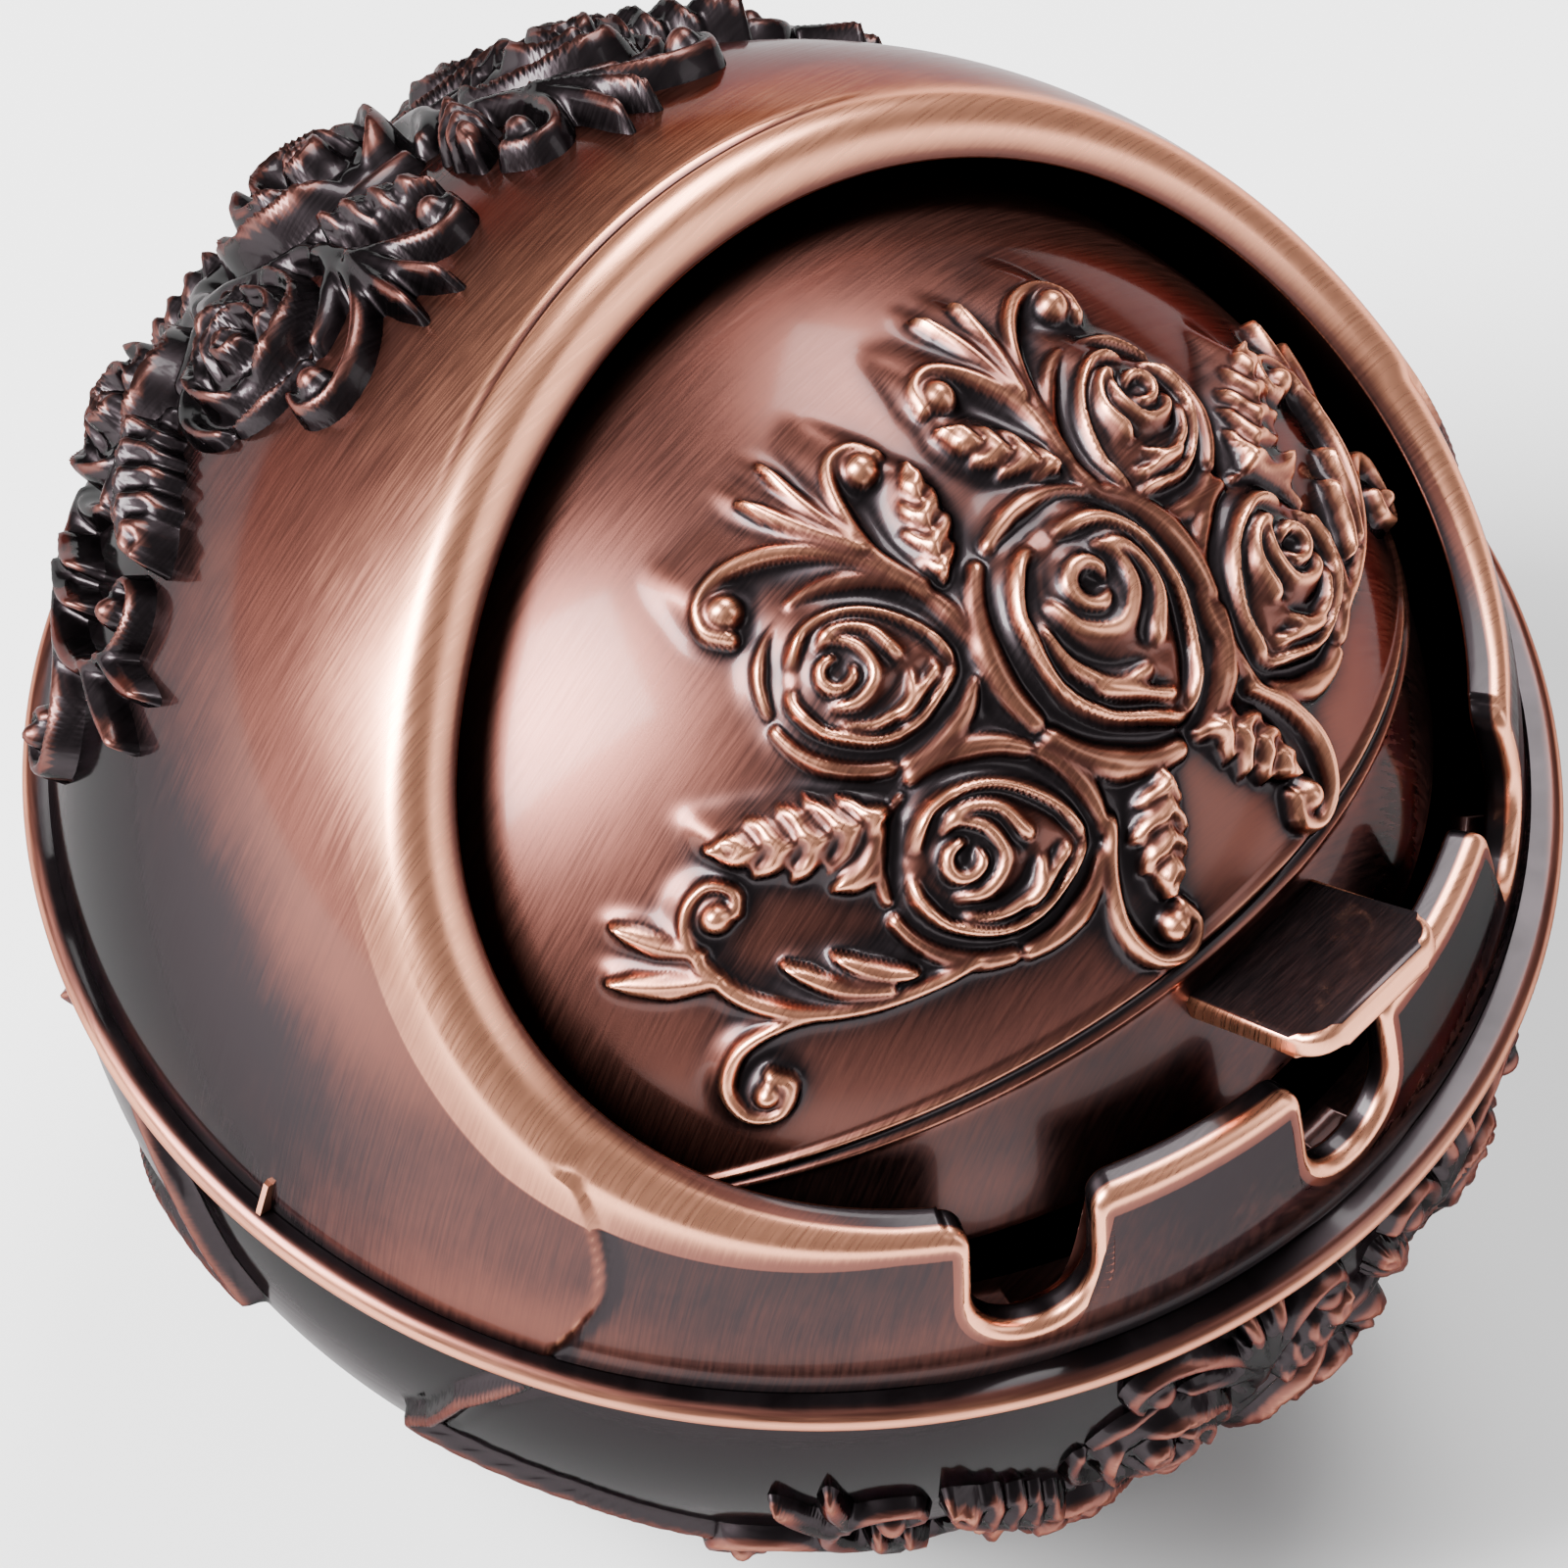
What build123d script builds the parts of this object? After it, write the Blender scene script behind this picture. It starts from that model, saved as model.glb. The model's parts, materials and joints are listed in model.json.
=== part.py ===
from build123d import *
import os
from math import cos, degrees, radians, sin, sqrt

# Spherical lidded ashtray. Every piece is drawn about the centre of the ball, with the front
# at -Y and the lid's hinge along X, and is lifted by CENTRE_Z when it is written, so that
# the felt pad under the bowl stands on Z = 0.

# Ball
BALL_R = 50.0
WALL_T = 3.6
INNER_R = BALL_R - WALL_T
CENTRE_Z = 47.0
SEAM_Z = 1.0

# Bowl
BEAD_R = 50.7
BEAD_T = 1.0
SOCKET_R = 47.6
SOCKET_Z = -6.5
BASE_Z = -46.0
FLOOR_Z = -42.5
PAD_R = 17.5
PAD_T = 1.6
PAD_SUNK = 0.6

# Skirt of the upper shell, which plugs into the bowl's socket
SKIRT_OUT_R = 47.4
SKIRT_IN_R = 44.0
SKIRT_LOW_Z = -6.0
SKIRT_TOP_Z = 4.0
RING_GROOVE_Z = -4.2
RING_T = 0.55

# Mouth of the upper shell: a straight cut that leans back, then an arc onto a level front wall
MOUTH_TILT = 50.0
MOUTH_OFFSET = 18.7
MOUTH_BEND_R = 58.0
FRONT_WALL_Z = 14.0
WALL_SHIFT_Y = 1.4
WALL_EDGE_R = 0.6
# The shoulder of the front wall seen from the side, as (Y, Z) from the seam up to the rim
SHOULDER = ((-16.0, -3.0), (-19.4, 4.5), (-20.4, 10.0), (-17.2, 16.8), (-10.4, 21.2), (-3.0, 28.0))
RIM_GROOVE_OFFSET = 17.0
RIM_GROOVE_R = 0.4

# Cigarette rests
REST_ANGLES = (-31.0, 0.0, 31.0)
REST_WIDTH = 8.6
REST_BOTTOM_Z = 4.0
REST_LIP_R = 1.5

# Lid: a visor of spherical shell that turns about X
LID_R = 43.0
LID_T = 2.0
LID_FRONT = 10.0
LID_BACK = 110.0
EAR_R = 7.0
HUB_R = 3.0
EAR_OUT_X = 42.6
EAR_IN_X = 40.4
RIB_ANGLE = 30.5
RIB_T = 1.4
RIB_H = 0.8

# Thumb tab
TAB_W = 13.4
TAB_T = 1.9
TAB_TURN = 25.0
TAB_TIP_R = 54.4
TAB_ROOT_R = 41.0
TAB_CORNER_R = 2.6

# Hinge hardware
SHOULDER_R = 2.0
EAR_BORE_R = 2.05
BOSS_R = 5.5
BOSS_FACE_X = 43.6
THREAD_R = 1.5
THREAD_END_X = 47.2
HEAD_R = 4.0
HEAD_T = 2.0
WASHER_R = 4.5
WASHER_T = 0.8
SPRING_T = 0.6
WASHER_BORE_R = 2.1
SLOT_DEPTH = 1.1
SLOT_W = 0.9
SLOT_L = 4.6
HINGE_GAP = 0.1

# Reach of cutting shapes, well outside the ball
FAR = 80.0

# Raised flowers: turn about X from the front, slant towards +X, radius
LID_ROSE_H = 2.2
LID_ROSES = (
    (59.0, 2.0, 6.2),
    (69.3, 22.0, 5.0),
    (69.3, -18.0, 5.6),
    (49.0, 25.0, 5.2),
    (48.5, -20.0, 5.6),
)
BACK_ROSE_H = 2.8
BACK_ROSES = (
    (32.0, 0.0, 8.5),
    (24.0, 19.0, 7.5),
    (24.0, -19.0, 7.5),
    (42.0, 17.0, 6.5),
    (42.0, -17.0, 6.5),
)
BOWL_ROSE_H = 1.8
BOWL_ROSES = (
    (-29.0, 0.0, 8.5),
    (-37.0, 19.0, 7.5),
    (-37.0, -19.0, 7.5),
    (-19.0, 17.0, 6.5),
    (-19.0, -17.0, 6.5),
)


def ball(radius):
    return Sphere(radius)


def rod_x(radius, x_low, x_high):
    """A round rod along X between two stations."""
    rod = Cylinder(radius, x_high - x_low)
    return Pos((x_low + x_high) / 2, 0, 0) * Rot(0, 90, 0) * rod


def slab(z_low, z_high):
    return Pos(0, 0, (z_low + z_high) / 2) * Box(2 * FAR, 2 * FAR, z_high - z_low)


def along_x(face_on_yz):
    """Extrudes an outline drawn in (Y, Z) to both sides along X."""
    return extrude(Plane.YZ * face_on_yz, amount=FAR, both=True)


def mouth_cutter():
    """What the mouth removes: all that lies above and in front of the rim's side profile."""
    tilt = radians(MOUTH_TILT)
    corner_y = (FRONT_WALL_Z * cos(tilt) - MOUTH_OFFSET) / sin(tilt)
    top = Vector(corner_y + FAR * cos(tilt), FRONT_WALL_Z + FAR * sin(tilt))
    corner = Vector(corner_y, FRONT_WALL_Z)
    front = Vector(-FAR, FRONT_WALL_Z)
    rim = FilletPolyline(top, corner, front, radius=MOUTH_BEND_R)
    closing = Polyline(front, (-FAR, 2 * FAR), top)
    return along_x(make_face([rim, closing]))


def wall_ball():
    """The front wall lies on a ball of the same size that is set back a little."""
    return Pos(0, WALL_SHIFT_Y, 0) * ball(BALL_R)


def front_recess():
    """The front wall stands back from the ball; a curved shoulder ends it on each side."""
    shoulder = Spline(*SHOULDER)
    top_y = SHOULDER[-1][0]
    low_z = SHOULDER[0][1]
    closing = Polyline(SHOULDER[-1], (top_y, FAR), (-FAR, FAR), (-FAR, low_z), SHOULDER[0])
    return along_x(make_face([shoulder, closing])) - wall_ball()


def rest_cutter(angle):
    """One U-shaped cigarette rest with rounded lips, cut straight outwards through the wall."""
    half = REST_WIDTH / 2
    bend_z = REST_BOTTOM_Z + half
    lip_z = FRONT_WALL_Z - REST_LIP_R
    outline = Pos(0, bend_z) * Circle(half)
    outline += Pos(0, (bend_z + 20) / 2) * Rectangle(REST_WIDTH, 20 - bend_z)
    outline += Pos(0, lip_z + 4) * Rectangle(REST_WIDTH + 2 * REST_LIP_R, 8)
    for side in (-1, 1):
        outline -= Pos(side * (half + REST_LIP_R), lip_z) * Circle(REST_LIP_R)
    prism = extrude(Plane.XZ * outline, amount=15)
    return Rot(0, 0, angle) * Pos(0, -40, 0) * prism


def around(turn, slant):
    """Placement on the ball, +Z outwards: turned about X up from the front, slanted towards +X."""
    direction = Vector(
        sin(radians(slant)),
        -cos(radians(slant)) * cos(radians(turn)),
        cos(radians(slant)) * sin(radians(turn)),
    )
    return Plane(origin=(0, 0, 0), z_dir=direction)


def rose(turn, slant, size, base_r, height):
    """A stepped flower boss: a low bloom, with its heart standing higher."""
    bloom = Cylinder(size, base_r + 20, align=(Align.CENTER, Align.CENTER, Align.MIN))
    heart = Cylinder(size * 0.45, base_r + 20, align=(Align.CENTER, Align.CENTER, Align.MIN))
    core = ball(base_r - 0.8)
    low = (around(turn, slant) * bloom) & ball(base_r + height * 0.6)
    high = (around(turn, slant) * heart) & ball(base_r + height)
    return (low + high) - core


def roses(places, base_r, height, mirrored=False):
    out = []
    for turn, slant, size in places:
        boss = rose(turn, slant, size, base_r, height)
        out.append(Rot(0, 0, 180) * boss if mirrored else boss)
    return out


def make_lower_bowl():
    body = ball(BALL_R) & slab(BASE_Z, SEAM_Z)
    body += Torus(BEAD_R, BEAD_T)
    body += roses(BOWL_ROSES, BALL_R, BOWL_ROSE_H)
    body += roses(BOWL_ROSES, BALL_R, BOWL_ROSE_H, mirrored=True)
    body -= ball(INNER_R) & slab(FLOOR_Z, 60)
    body -= Pos(0, 0, (SOCKET_Z + 10) / 2) * Cylinder(SOCKET_R, 10 - SOCKET_Z)
    body -= Pos(0, 0, BASE_Z + PAD_SUNK / 2) * Cylinder(PAD_R + 0.1, PAD_SUNK)
    return body


def make_base_pad():
    return Pos(0, 0, BASE_Z + PAD_SUNK - PAD_T / 2) * Cylinder(PAD_R, PAD_T)


def rim_groove():
    """A fine groove that runs round the mouth on the ball, a little way outside the rim."""
    circle_r = sqrt(BALL_R**2 - RIM_GROOVE_OFFSET**2)
    ring = Torus(circle_r, RIM_GROOVE_R)
    ring = Rot(MOUTH_TILT, 0, 0) * Pos(0, 0, RIM_GROOVE_OFFSET) * ring
    return ring & Pos(0, FAR / 2, 0) * Box(2 * FAR, FAR, 2 * FAR)


def rounded_wall(body):
    """Rounds the outer edges of the front wall's top between and beside the rests."""
    centre = Vector(0, WALL_SHIFT_Y, 0)

    def on_wall(edge):
        return all(abs((edge.position_at(t) - centre).length - BALL_R) < 0.02 for t in (0.1, 0.5, 0.9))

    longest = REST_WIDTH * 2
    edges = [e for e in body.edges() if on_wall(e) and REST_LIP_R < e.length < longest]
    edges = [e for e in edges if e.position_at(0.5).Z > SKIRT_TOP_Z]
    return fillet(edges, WALL_EDGE_R)


def make_upper_shell():
    body = ball(BALL_R) & slab(SEAM_Z, 60)
    body -= front_recess()
    skirt_h = SEAM_Z + 2 - SKIRT_LOW_Z
    body += Pos(0, 0, SKIRT_LOW_Z + skirt_h / 2) * Cylinder(SKIRT_OUT_R, skirt_h)
    body -= ball(INNER_R) & slab(SKIRT_TOP_Z, 60)
    bore_h = SKIRT_TOP_Z - SKIRT_LOW_Z
    body -= Pos(0, 0, SKIRT_LOW_Z + bore_h / 2) * Cylinder(SKIRT_IN_R, bore_h)
    for side in (-1, 1):
        boss = rod_x(BOSS_R, BOSS_FACE_X, 45.0)
        hole = rod_x(THREAD_R, BOSS_FACE_X - 1, THREAD_END_X)
        turn = Rot(0, 0, 0 if side > 0 else 180)
        body += turn * boss
        body -= turn * hole
    groove = Pos(0, 0, RING_GROOVE_Z) * Torus(SKIRT_OUT_R - RING_T + 0.1, RING_T)
    body -= groove
    body -= mouth_cutter()
    for angle in REST_ANGLES:
        body -= rest_cutter(angle)
    body = rounded_wall(body)
    body -= rim_groove()
    body += roses(BACK_ROSES, BALL_R, BACK_ROSE_H, mirrored=True)
    return body


def make_seal_ring():
    return Pos(0, 0, RING_GROOVE_Z) * Torus(SKIRT_OUT_R - RING_T + 0.1, RING_T)


def visor(outer_r, inner_r, low, high):
    """A band of spherical shell turned about X from one angle to another, cut square at the ears."""
    band = Circle(outer_r) - Circle(inner_r)
    band &= Pos(0, HUB_R + 40) * Rectangle(2 * EAR_OUT_X, 80)
    return Rot(90 - high, 0, 0) * revolve(Plane.XZ * band, Axis.X, high - low)


def make_lid_dome():
    dome = visor(LID_R, LID_R - LID_T, LID_FRONT, LID_BACK)
    half_rib = degrees(RIB_T / 2 / LID_R)
    dome += visor(LID_R + RIB_H, LID_R - RIB_H, RIB_ANGLE - half_rib, RIB_ANGLE + half_rib)
    dome += roses(LID_ROSES, LID_R, LID_ROSE_H)
    for side in (-1, 1):
        turn = Rot(0, 0, 0 if side > 0 else 180)
        dome += turn * rod_x(EAR_R, EAR_IN_X, EAR_OUT_X)
        dome -= turn * rod_x(EAR_BORE_R, EAR_IN_X - 1, EAR_OUT_X + 1)
    return dome


def make_thumb_tab():
    """A flat tab that stands square to the lid, with rounded corners at its tip."""
    plate = Pos(0, -(TAB_TIP_R + TAB_ROOT_R) / 2, 0) * Box(TAB_W, TAB_TIP_R - TAB_ROOT_R, TAB_T)
    tip_edges = plate.edges().filter_by(Axis.Z).group_by(Axis.Y)[0]
    plate = fillet(tip_edges, TAB_CORNER_R)
    return Rot(-TAB_TURN, 0, 0) * plate - ball(LID_R)


def make_pivot_screw():
    head_x = EAR_IN_X - HINGE_GAP - SPRING_T
    screw = rod_x(HEAD_R, head_x - HEAD_T, head_x)
    screw += rod_x(SHOULDER_R, head_x, BOSS_FACE_X)
    screw += rod_x(THREAD_R, BOSS_FACE_X, THREAD_END_X)
    slot_x = head_x - HEAD_T
    for turn in (0, 90):
        screw -= Rot(turn, 0, 0) * Pos(slot_x, 0, 0) * Box(2 * SLOT_DEPTH, SLOT_W, SLOT_L)
    return screw


def make_thrust_washer():
    low = EAR_OUT_X + HINGE_GAP
    return rod_x(WASHER_R, low, low + WASHER_T) - rod_x(WASHER_BORE_R, low - 1, low + 2)


def make_spring_washer():
    high = EAR_IN_X - HINGE_GAP
    return rod_x(WASHER_R - 0.4, high - SPRING_T, high) - rod_x(WASHER_BORE_R, high - 2, high + 1)


def write(name, shape):
    export_step(Pos(0, 0, CENTRE_Z) * shape, f"parts/{name}.step")


os.makedirs("parts", exist_ok=True)
write("lower_bowl", make_lower_bowl())
write("base_pad", make_base_pad())
write("upper_shell", make_upper_shell())
write("seal_ring", make_seal_ring())
write("lid_dome", make_lid_dome())
write("thumb_tab", make_thumb_tab())
for side_name, side_turn in (("right", 0), ("left", 180)):
    write(f"pivot_screw_{side_name}", Rot(0, 0, side_turn) * make_pivot_screw())
    write(f"thrust_washer_{side_name}", Rot(0, 0, side_turn) * make_thrust_washer())
    write(f"spring_washer_{side_name}", Rot(0, 0, side_turn) * make_spring_washer())
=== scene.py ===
import bmesh
import bpy
import json
import math
import numpy as np
from mathutils import Matrix, Vector


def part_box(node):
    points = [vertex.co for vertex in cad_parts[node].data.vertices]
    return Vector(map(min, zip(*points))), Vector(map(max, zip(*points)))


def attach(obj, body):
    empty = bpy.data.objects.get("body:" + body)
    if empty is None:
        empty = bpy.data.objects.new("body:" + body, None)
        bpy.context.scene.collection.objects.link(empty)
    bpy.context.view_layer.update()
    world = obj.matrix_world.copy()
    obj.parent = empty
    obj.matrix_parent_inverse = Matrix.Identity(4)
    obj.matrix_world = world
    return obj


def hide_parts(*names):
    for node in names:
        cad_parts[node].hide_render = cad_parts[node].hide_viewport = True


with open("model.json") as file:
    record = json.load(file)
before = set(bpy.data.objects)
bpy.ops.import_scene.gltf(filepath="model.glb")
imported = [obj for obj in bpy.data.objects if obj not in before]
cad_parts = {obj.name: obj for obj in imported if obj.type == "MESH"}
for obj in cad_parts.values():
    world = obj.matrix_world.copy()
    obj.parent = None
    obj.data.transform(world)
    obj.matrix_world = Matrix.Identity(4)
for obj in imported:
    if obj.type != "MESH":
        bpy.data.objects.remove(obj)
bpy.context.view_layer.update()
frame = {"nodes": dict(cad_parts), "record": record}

# ------------------------------------------------------------
# Dimensions. Lengths are millimetres about the centre of the ball; to_world() makes them metres.
# ------------------------------------------------------------
MM = 0.001
record = frame["record"]
hinge = [j for j in record["behaviour"]["joints"] if j["name"] == "lid_turn"][0]
CENTRE = np.array(hinge["pos_m"])


def node_box(name):
    low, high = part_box(name)
    return (np.array(low) - CENTRE) / MM, (np.array(high) - CENTRE) / MM


BALL_R = 50.0
INNER_R = 46.4
SEAM_Z = node_box("lower_bowl")[1][2]
SKIRT_LOW_Z = node_box("upper_shell")[0][2]
SKIRT_OUT_R = 47.4
SKIRT_IN_R = 44.0
SKIRT_TOP_Z = 4.0
SHELL_ROWS = 86
RIM_SIDE_POINTS = 250
TICK_AZIMUTH = -94.0
SOCKET_R = 47.6
SOCKET_Z = -6.5
BASE_Z = -46.0
FLOOR_Z = -42.5
BEAD_R = 50.7
BEAD_T = 1.0
LEDGE_R = 49.5
PAD_R = 17.6
PAD_SUNK = 0.6
# Border of the bowl's framed panels: at its side (degrees below the seam, degrees from the front)
# and at its foot (degrees from the front, elevation)
PANEL_SIDE = ((0, 69.5), (3, 71.5), (9.5, 76.5), (16, 79.5), (20, 82.8), (30, 88.0))
PANEL_FOOT = ((0, -52.0), (20, -48.0), (45, -34.0), (67, -23.5), (83, -20.5), (90, -19.5))
PANEL_INSET = 0.6
PANEL_CORNER = 2.0
PANEL_RIDGE = 1.0
RIM_ROUND_FRONT = 0.75
RIM_ROUND_BACK = 1.75
BAND_ROWS = 12
# Degrees round the rim where the front wall ends and where the back begins, each faded over some
FRONT_END = 72
BACK_START = 118
RIM_FADE = 30
# Painted shade on the shell: by the distance ahead of the mouth's plane, and by height
FAR_START = 15
FAR_SPAN = 21
FOOT_SHADE_Z = 12.5
FOOT_SHADE_WIDTH = 10.0

MOUTH_TILT = math.radians(50)
MOUTH_OFFSET = 18.7
MOUTH_AXIS = np.array([0.0, -math.sin(MOUTH_TILT), math.cos(MOUTH_TILT)])
MOUTH_BEND_R = 58.0
FRONT_WALL_Z = 14.0
WALL_SHIFT_Y = 1.4
SHOULDER = [(-16.0, -3.0), (-19.4, 4.5), (-20.4, 10.0), (-17.2, 16.8), (-10.4, 21.2), (-3.0, 28.0)]

REST_ANGLES = (-31.0, 0.0, 31.0)
REST_WIDTH = 8.6
REST_BOTTOM_Z = 4.0
REST_LIP_R = 1.5

LID_R = 43.0
LID_T = 2.0
LID_FRONT = 10.0
LID_BACK = 110.0
EAR_R = 7.0
EAR_OUT_X = 42.6
EAR_IN_X = 40.4
EAR_BORE_R = 2.05
RIB_ANGLE = 30.5
RELIEF_FREE = 2.2
RELIEF_SPAN = 0.6
HIDDEN_CAVITY = 0.3

TAB_W = 13.4
TAB_T = 1.9
TAB_TURN = 25.0
TAB_TIP_R = 54.4
TAB_ROOT_R = 41.5
TAB_CORNER_R = 2.6


def to_world(points):
    return np.asarray(points) * MM + CENTRE


def unit(v):
    v = np.asarray(v, float)
    return v / np.linalg.norm(v, axis=-1, keepdims=True)


def turned(turn, slant):
    """Direction from the ball's centre: turned up about X from the front, slanted towards +X."""
    t = np.radians(turn)
    s = np.radians(slant)
    return np.stack([np.sin(s) + 0 * t, -np.cos(s) * np.cos(t), np.cos(s) * np.sin(t)], -1)


# ------------------------------------------------------------
# Meshes
# ------------------------------------------------------------
def make_object(name, points, faces, body, patina_and_shade, replaces=(), smooth=True):
    """A mesh riding on a body. A value by point drives the plating: below 0 for edges rubbed to bright copper
    and for painted highlights, above 0 for hollows left dark and for painted shade."""
    mesh = bpy.data.meshes.new(name)
    mesh.from_pydata(to_world(points).tolist(), [], faces)
    mesh.validate()
    mesh.update()
    if smooth:
        mesh.polygons.foreach_set("use_smooth", [True] * len(mesh.polygons))
    layer = mesh.attributes.new("patina_and_shade", "FLOAT", "POINT")
    layer.data.foreach_set("value", np.asarray(patina_and_shade, np.float32))
    obj = bpy.data.objects.new(name, mesh)
    bpy.context.collection.objects.link(obj)
    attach(obj, body)
    if replaces:
        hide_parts(*replaces)
    return obj


def grid_faces(rows, cols, start=0, wrap=False, flip=False):
    """Quads of a grid of points stored row by row."""
    i, j = np.meshgrid(np.arange(rows - 1), np.arange(cols if wrap else cols - 1), indexing="ij")
    k = (j + 1) % cols
    quads = np.stack([i * cols + j, i * cols + k, (i + 1) * cols + k, (i + 1) * cols + j], -1)
    quads = quads.reshape(-1, 4) + start
    return quads[:, ::-1].tolist() if flip else quads.tolist()


# ------------------------------------------------------------
# Relief: a height map in millimetres on a flat chart
# ------------------------------------------------------------
PITCH = 0.12
CHART = (-47.0, 47.0, -27.0, 30.0)


def smooth_path(points, step=0.22):
    """Catmull-Rom curve through given points, as closely spaced points."""
    p = np.array(points, float)
    if len(p) == 2:
        p = np.array([p[0], (p[0] + p[1]) / 2, p[1]])
    q = np.vstack([2 * p[0] - p[1], p, 2 * p[-1] - p[-2]])
    out = []
    for i in range(1, len(q) - 2):
        n = max(2, int(np.linalg.norm(q[i + 1] - q[i]) / step))
        t = np.arange(n)[:, None] / n
        a, b, c, d = q[i - 1], q[i], q[i + 1], q[i + 2]
        square, cube = 2 * a - 5 * b + 4 * c - d, 3 * b - a - 3 * c + d
        out.append(0.5 * (2 * b + (c - a) * t + square * t**2 + cube * t**3))
    out.append(p[-1:])
    return np.vstack(out)


class Chart:
    """A height map that strokes, petals and domes are laid on."""

    def __init__(self):
        x0, x1, y0, y1 = CHART
        self.x = np.arange(x0, x1, PITCH)
        self.y = np.arange(y0, y1, PITCH)
        self.h = np.zeros((len(self.y), len(self.x)))

    def window(self, low, high):
        i0, i1 = np.searchsorted(self.y, [low[1], high[1]])
        j0, j1 = np.searchsorted(self.x, [low[0], high[0]])
        window = (slice(i0, i1), slice(j0, j1))
        gx, gy = np.meshgrid(self.x[j0:j1], self.y[i0:i1])
        return window, gx, gy

    def nearest(self, path, reach):
        """For each cell of the chart near a path: distance, side and place along the path."""
        window, gx, gy = self.window(path.min(0) - reach, path.max(0) + reach)
        best = np.full(gx.shape, 1e9)
        where = np.zeros(gx.shape, int)
        for k, (px, py) in enumerate(path):
            d = (gx - px) ** 2 + (gy - py) ** 2
            closer = d < best
            best[closer] = d[closer]
            where[closer] = k
        tangent = np.gradient(path, axis=0)
        side = tangent[where, 0] * (gy - path[where, 1]) - tangent[where, 1] * (gx - path[where, 0])
        return window, np.sqrt(best), np.sign(side), where / max(1, len(path) - 1)

    def tube(self, points, width, height, ends):
        """A rounded cord of metal: half-round across, its width tapering to the ends."""
        path = smooth_path(points)
        window, d, _, t = self.nearest(path, width * 1.2)
        taper = np.interp(t, [0, 0.5, 1], [ends[0], 1.0, ends[1]])
        r = np.clip(1 - (d / (width * taper)) ** 2, 0, None)
        shape = height * taper**0.6 * np.sqrt(r)
        self.h[window] = np.maximum(self.h[window], shape)

    def leaf(self, points, width, height, lobes=0):
        """A leaf with a raised rim and a vein line, its edge cut into lobes where asked."""
        path = smooth_path(points)
        window, d, side, t = self.nearest(path, width * 1.5)
        outline = np.interp(t, [0, 0.12, 0.45, 0.8, 1], [0.25, 0.7, 1.0, 0.7, 0.15])
        if lobes:
            saw = (t * lobes + 0.12 * side) % 1.0
            outline = outline * (0.78 + 0.4 * saw)
        w = width * outline
        s = np.clip(d / w, 0, 1.3)
        body = np.clip(1 - s**4, 0, None) ** 0.5
        cup = 0.62 + 0.38 * np.clip(s, 0, 1) ** 1.5
        spine = 0.35 * np.exp(-((d / (0.28 * width)) ** 2))
        veins = 0.0
        if lobes:
            veins = 0.16 * np.cos(2 * np.pi * (t * lobes + 0.12 * side - 0.55 * s))
        shape = height * body * (cup + spine + veins)
        self.h[window] = np.maximum(self.h[window], shape)

    def knob(self, x, y, radius, height):
        window, gx, gy = self.window((x - radius, y - radius), (x + radius, y + radius))
        r = np.clip(1 - ((gx - x) ** 2 + (gy - y) ** 2) / radius**2, 0, None)
        self.h[window] = np.maximum(self.h[window], height * np.sqrt(r))

    def lip(self, path, amp, inner, outer, groove=0.8, reach=1.6):
        """Adds a petal's curled edge: a ridge that is steep with a groove on its outer side."""
        window, d, side, t = self.nearest(path, reach)
        fade = np.clip(np.minimum(t, 1 - t) * 7, 0, 1) ** 0.7
        ridge_in = np.exp(-((d / inner) ** 2))
        ridge_out = np.exp(-((d / outer) ** 2)) * (1 + groove)
        ridge_out = ridge_out - groove * np.exp(-((d / (2.2 * outer)) ** 2))
        shape = np.where(side < 0, ridge_in, ridge_out)
        self.h[window] += amp * fade * shape


# One rose, drawn with its tip down and its bud at the origin, for a unit radius
ROSE_BODY = [
    (0.0, 0.62), (0.42, 0.52), (0.68, 0.15), (0.68, -0.4), (0.42, -0.92), (0.08, -1.27),
    (-0.3, -1.02), (-0.62, -0.68), (-0.74, -0.25), (-0.66, 0.22), (-0.38, 0.54),
]
ROSE_LIPS = (
    ([(-0.1, 0.5), (-0.35, 0.4), (-0.59, 0.12), (-0.69, -0.35), (-0.53, -0.76), (-0.2, -1.03),
      (0.04, -1.22)], 1.0),
    ([(0.08, -1.2), (0.4, -0.92), (0.62, -0.47), (0.64, -0.06), (0.46, 0.29), (0.08, 0.46)], 1.0),
    ([(-0.52, -0.55), (-0.2, -0.82), (0.06, -1.02)], 0.7),
    ([(-0.5, 0.12), (-0.52, -0.3), (-0.32, -0.62), (0.0, -0.74)], 0.85),
    ([(0.12, -0.66), (0.2, -0.53), (0.42, -0.33), (0.47, -0.04), (0.36, 0.2)], 0.9),
    ([(-0.3, 0.14), (-0.27, -0.14), (-0.02, -0.32), (0.25, -0.2), (0.33, 0.04), (0.22, 0.24)], 0.95),
    ([(0.12, -0.13), (-0.04, -0.17), (-0.17, -0.06), (-0.17, 0.1), (-0.05, 0.2), (0.1, 0.18), (0.17, 0.05),
      (0.1, -0.02)], 0.9),
)
ROSE_OUTER = ((200, 262, 1.02), (278, 330, 1.04), (338, 398, 1.02), (52, 108, 0.95), (122, 190, 1.0))


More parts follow.
